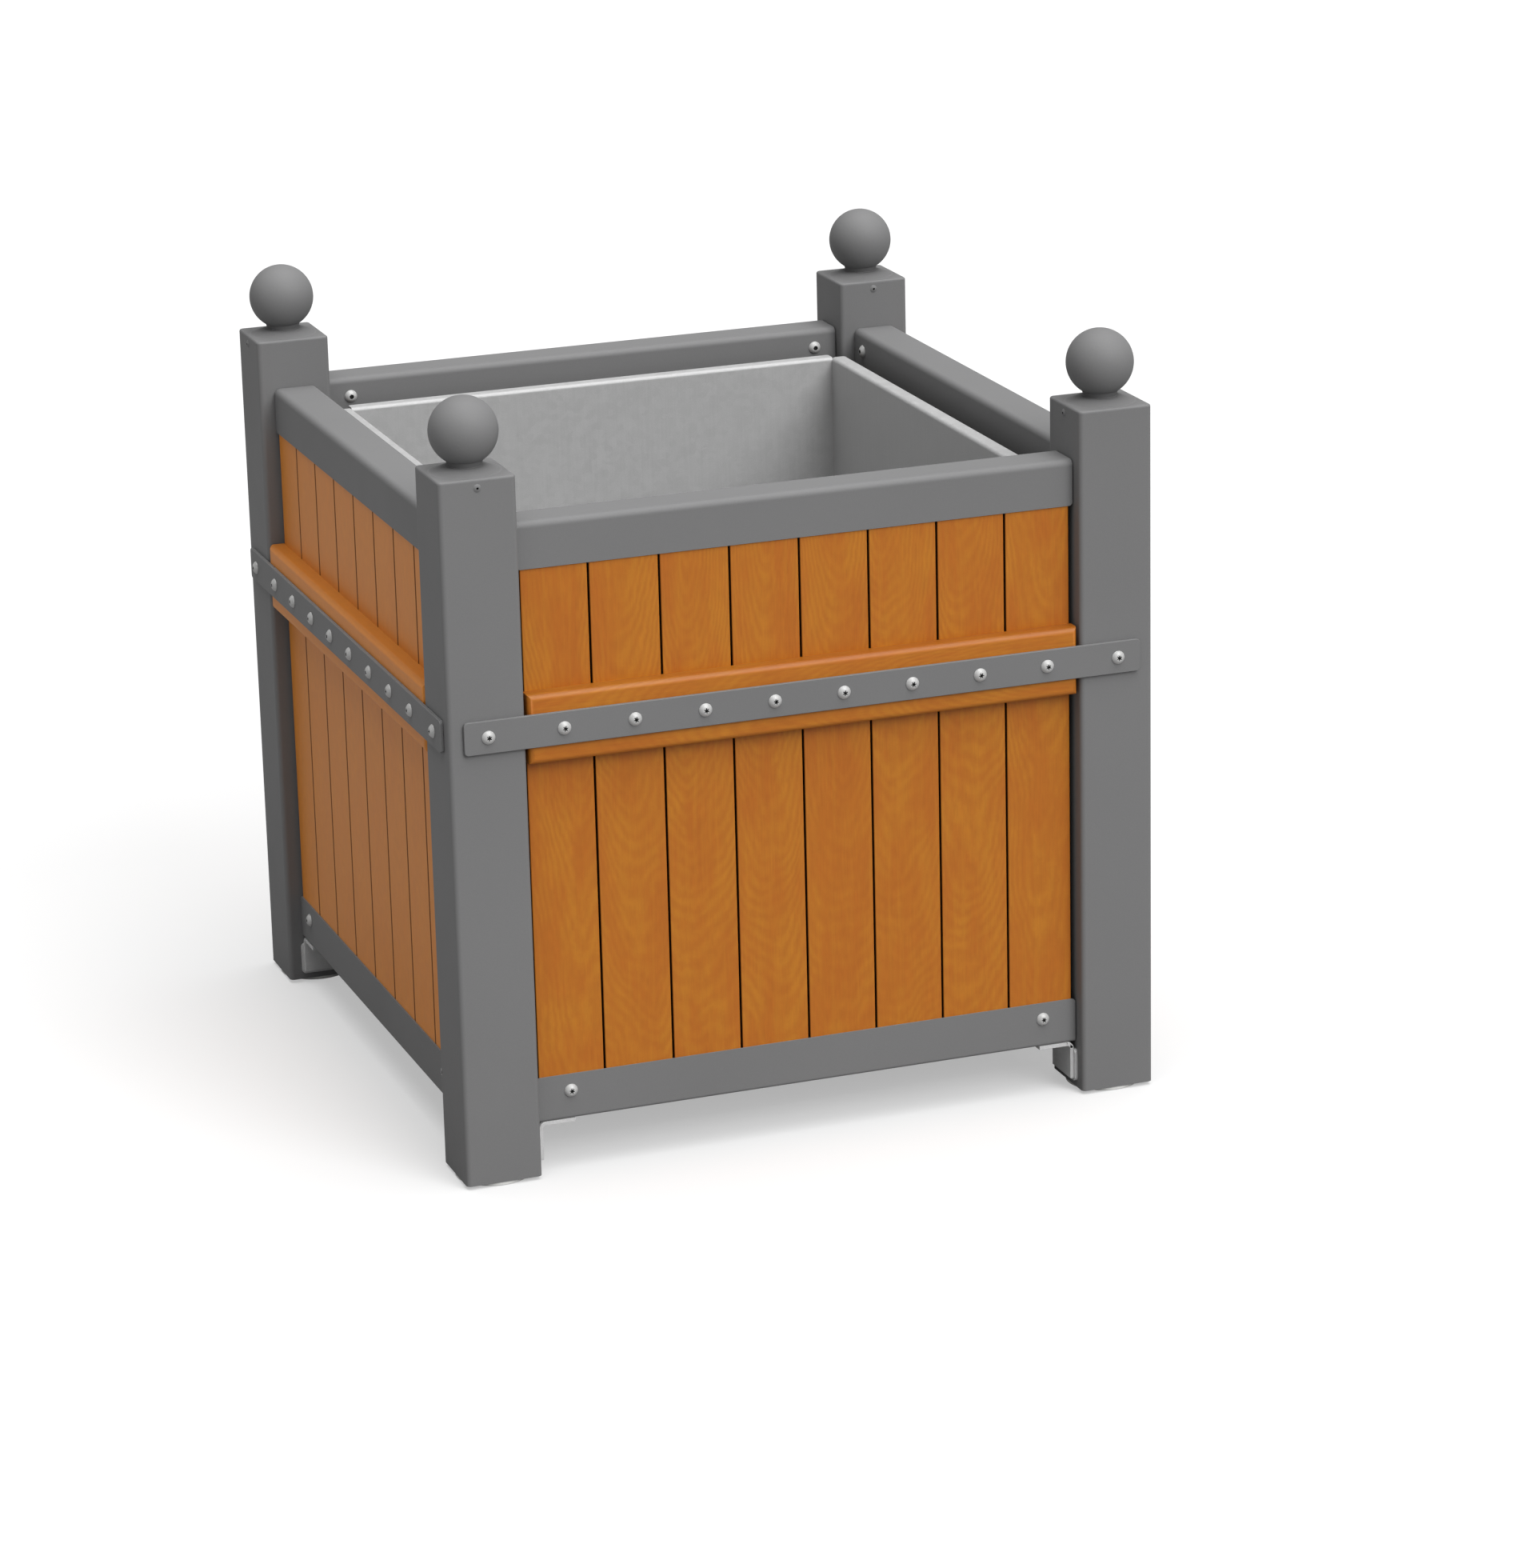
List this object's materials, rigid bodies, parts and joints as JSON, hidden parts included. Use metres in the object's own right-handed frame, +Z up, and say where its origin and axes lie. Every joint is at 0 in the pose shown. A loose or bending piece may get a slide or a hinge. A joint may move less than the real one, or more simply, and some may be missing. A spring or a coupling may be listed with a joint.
{
  "type": "square planter",
  "caption": "Square garden planter: ball-topped steel posts, folded rails, upright timber boards under bolted steel bands, levelling feet and a lift-out galvanised liner.",
  "frame": {"origin": "middle of the planter's base, on the floor under the foot pads", "axes": "+Z up; the front faces -Y; +X points to the right seen from the front"},
  "size_m": [0.966, 0.966, 1.0155],
  "materials": {
    "painted_steel": "mid grey powder coat, fine matt",
    "stained_timber": "orange-brown stained softwood, satin",
    "galvanised_steel": "hot-dip galvanised, dull",
    "zinc_fasteners": "pale zinc plate, satin",
    "pad_plastic": "pale grey, smooth"
  },
  "bodies": {
    "frame": {"post_front_left": "painted_steel", "post_front_right": "painted_steel", "post_back_right": "painted_steel", "post_back_left": "painted_steel", "cap_front_left": "painted_steel", "cap_front_right": "painted_steel", "cap_back_right": "painted_steel", "cap_back_left": "painted_steel", "finial_front_left": "painted_steel", "finial_front_right": "painted_steel", "finial_back_right": "painted_steel", "finial_back_left": "painted_steel", "foot_plates": "galvanised_steel", "cap_rivets": "painted_steel", "finial_nuts": "zinc_fasteners", "top_rail_front": "painted_steel", "top_rail_right": "painted_steel", "top_rail_back": "painted_steel", "top_rail_left": "painted_steel", "bottom_rail_front": "painted_steel", "bottom_rail_right": "painted_steel", "bottom_rail_back": "painted_steel", "bottom_rail_left": "painted_steel", "boards_front": "stained_timber", "boards_right": "stained_timber", "boards_back": "stained_timber", "boards_left": "stained_timber", "batten_front": "stained_timber", "batten_right": "stained_timber", "batten_back": "stained_timber", "batten_left": "stained_timber", "band_front": "painted_steel", "band_right": "painted_steel", "band_back": "painted_steel", "band_left": "painted_steel", "band_bolts_front": "zinc_fasteners", "band_bolts_right": "zinc_fasteners", "band_bolts_back": "zinc_fasteners", "band_bolts_left": "zinc_fasteners", "band_nuts": "zinc_fasteners", "bottom_rail_bolts": "zinc_fasteners", "bottom_rail_nuts": "zinc_fasteners", "top_rail_bolts": "zinc_fasteners", "rail_cleats": "galvanised_steel", "corner_brackets": "galvanised_steel", "backing_plates": "galvanised_steel", "bracket_bolts": "zinc_fasteners", "bracket_nuts": "zinc_fasteners", "bearer_front": "galvanised_steel", "bearer_back": "galvanised_steel"},
    "liner": {"liner": "galvanised_steel"},
    "foot_front_left": {"foot_pad_front_left": "pad_plastic", "foot_spindle_front_left": "zinc_fasteners"},
    "foot_front_right": {"foot_pad_front_right": "pad_plastic", "foot_spindle_front_right": "zinc_fasteners"},
    "foot_back_right": {"foot_pad_back_right": "pad_plastic", "foot_spindle_back_right": "zinc_fasteners"},
    "foot_back_left": {"foot_pad_back_left": "pad_plastic", "foot_spindle_back_left": "zinc_fasteners"}
  },
  "joints": [
    {"name": "liner_lift", "type": "slide", "parent": "frame", "child": "liner", "axis": [0, 0, 1], "range_m": [0, 0.9]},
    {"name": "foot_front_left_level", "type": "slide", "parent": "frame", "child": "foot_front_left", "axis": [0, 0, -1], "range_m": [0, 0.03]},
    {"name": "foot_front_right_level", "type": "slide", "parent": "frame", "child": "foot_front_right", "axis": [0, 0, -1], "range_m": [0, 0.03]},
    {"name": "foot_back_right_level", "type": "slide", "parent": "frame", "child": "foot_back_right", "axis": [0, 0, -1], "range_m": [0, 0.03]},
    {"name": "foot_back_left_level", "type": "slide", "parent": "frame", "child": "foot_back_left", "axis": [0, 0, -1], "range_m": [0, 0.03]}
  ]
}
